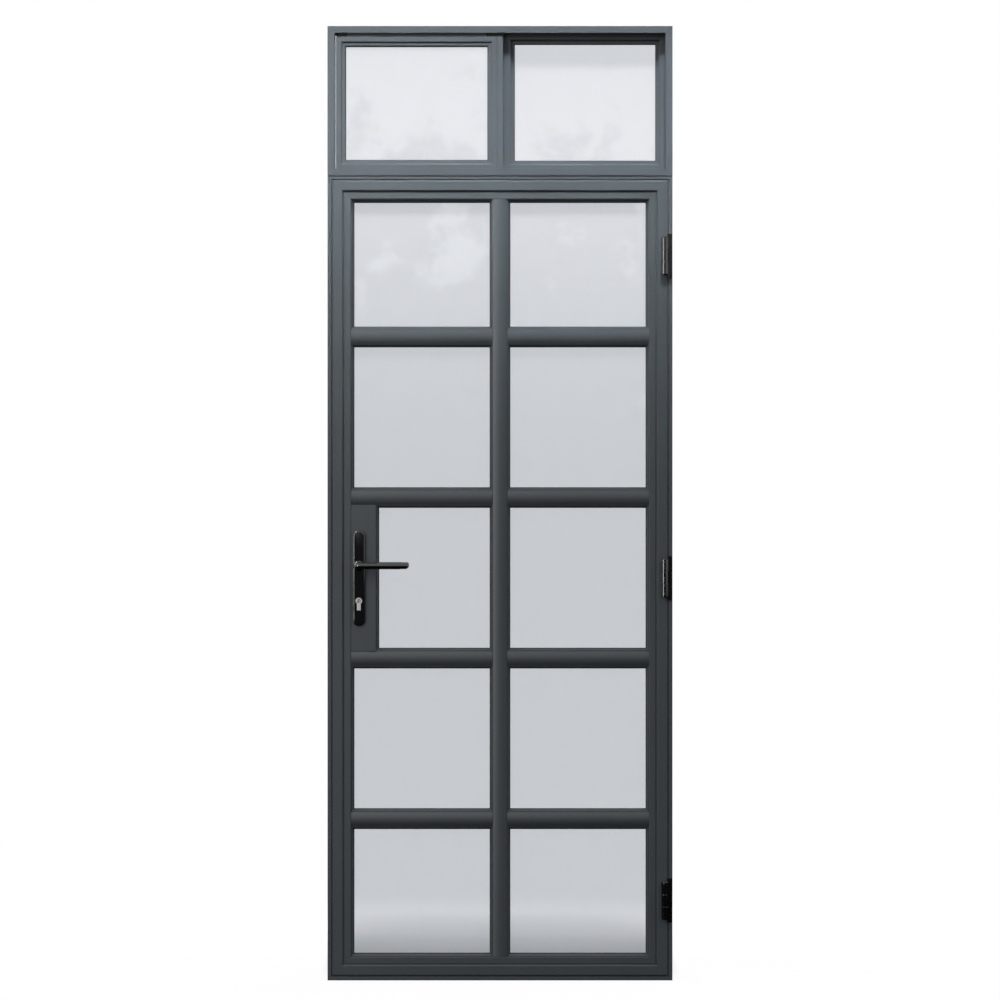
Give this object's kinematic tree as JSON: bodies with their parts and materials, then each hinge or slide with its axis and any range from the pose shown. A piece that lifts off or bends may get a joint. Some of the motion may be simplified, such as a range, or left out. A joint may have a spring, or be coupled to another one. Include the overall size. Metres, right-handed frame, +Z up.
{
  "type": "glass door",
  "caption": "Hinged glass door in a slim grey aluminium frame, with glazing bars, a lever lock and a sliding window above it.",
  "frame": {"origin": "middle of the door frame's bottom face, halfway through its depth", "axes": "+Z up, -Y towards the side that the leaf opens to, +X towards the hinges"},
  "size_m": [0.9, 0.146, 2.49],
  "materials": {
    "grey_powder_coat": "satin powder coat, anthracite grey",
    "grey_beads": "satin powder coat, anthracite grey, in shade",
    "black_powder_coat": "semi-gloss black",
    "glass": "laminated float glass, pale grey and slightly milky",
    "plated_steel": "zinc and nickel plate",
    "brass": "satin nickelled brass"
  },
  "bodies": {
    "frame": {"door_jamb_left": "grey_powder_coat", "door_jamb_right": "grey_powder_coat", "door_frame_head": "grey_powder_coat", "door_sill": "grey_powder_coat", "window_jamb_left": "grey_powder_coat", "window_jamb_right": "grey_powder_coat", "window_head": "grey_powder_coat", "window_sill": "grey_powder_coat", "fixed_light_frame": "grey_powder_coat", "fixed_light_glass": "glass", "hinge_frame_bottom": "black_powder_coat", "hinge_frame_middle": "black_powder_coat", "hinge_frame_top": "black_powder_coat", "hinge_pins": "plated_steel", "meeting_post": "grey_powder_coat", "strike_plate": "plated_steel"},
    "leaf": {"leaf_stile_lock": "grey_powder_coat", "leaf_stile_hinge": "grey_powder_coat", "leaf_rail_top": "grey_powder_coat", "leaf_rail_bottom": "grey_powder_coat", "glazing_post": "grey_powder_coat", "crossbar_1": "grey_powder_coat", "crossbar_2": "grey_powder_coat", "crossbar_3": "grey_powder_coat", "crossbar_4": "grey_powder_coat", "lock_panel": "grey_powder_coat", "lock_post": "grey_powder_coat", "glass_1_left": "glass", "glass_2_left": "glass", "glass_3_left": "glass", "glass_4_left": "glass", "glass_5_left": "glass", "glass_1_right": "glass", "glass_2_right": "glass", "glass_3_right": "glass", "glass_4_right": "glass", "glass_5_right": "glass", "beads_left": "grey_beads", "beads_right": "grey_beads", "hinge_leaf_bottom": "black_powder_coat", "hinge_leaf_middle": "black_powder_coat", "hinge_leaf_top": "black_powder_coat", "backplate_front": "black_powder_coat", "backplate_rear": "black_powder_coat", "plate_screws": "plated_steel", "lock_case": "plated_steel", "lock_faceplate": "plated_steel", "cylinder_body": "plated_steel"},
    "handle": {"lever_front": "black_powder_coat", "lever_rear": "black_powder_coat", "spindle": "plated_steel"},
    "deadbolt": {"deadbolt": "plated_steel"},
    "latch": {"latch_bolt": "brass"},
    "key_plug": {"cylinder_plug": "brass"},
    "sash": {"sash_stile_left": "grey_powder_coat", "sash_stile_right": "grey_powder_coat", "sash_rail_top": "grey_powder_coat", "sash_rail_bottom": "grey_powder_coat", "sash_interlock": "grey_powder_coat", "sash_glass": "glass"}
  },
  "joints": [
    {"name": "leaf_swing", "type": "hinge", "parent": "frame", "child": "leaf", "pos_m": [0.429, -0.039, 1.05], "axis": [0, 0, 1], "range_deg": [0, 110]},
    {"name": "lever_lift", "type": "hinge", "parent": "leaf", "child": "handle", "pos_m": [-0.368, -0.034, 1.082], "axis": [0, -1, 0], "range_deg": [0, 40]},
    {"name": "deadbolt_throw", "type": "slide", "parent": "leaf", "child": "deadbolt", "axis": [-1, 0, 0], "range_m": [0, 0.02]},
    {"name": "latch_slide", "type": "slide", "parent": "leaf", "child": "latch", "axis": [-1, 0, 0], "range_m": [0, 0.012]},
    {"name": "key_turn", "type": "hinge", "parent": "leaf", "child": "key_plug", "pos_m": [-0.368, -0.034, 0.99], "axis": [0, -1, 0], "range_deg": [0, 360]},
    {"name": "sash_slide", "type": "slide", "parent": "frame", "child": "sash", "axis": [1, 0, 0], "range_m": [0, 0.41]}
  ],
  "couplings": [
    {"joint": "deadbolt_throw", "follows": "lever_lift", "m_per_rad": 0.0286}
  ]
}
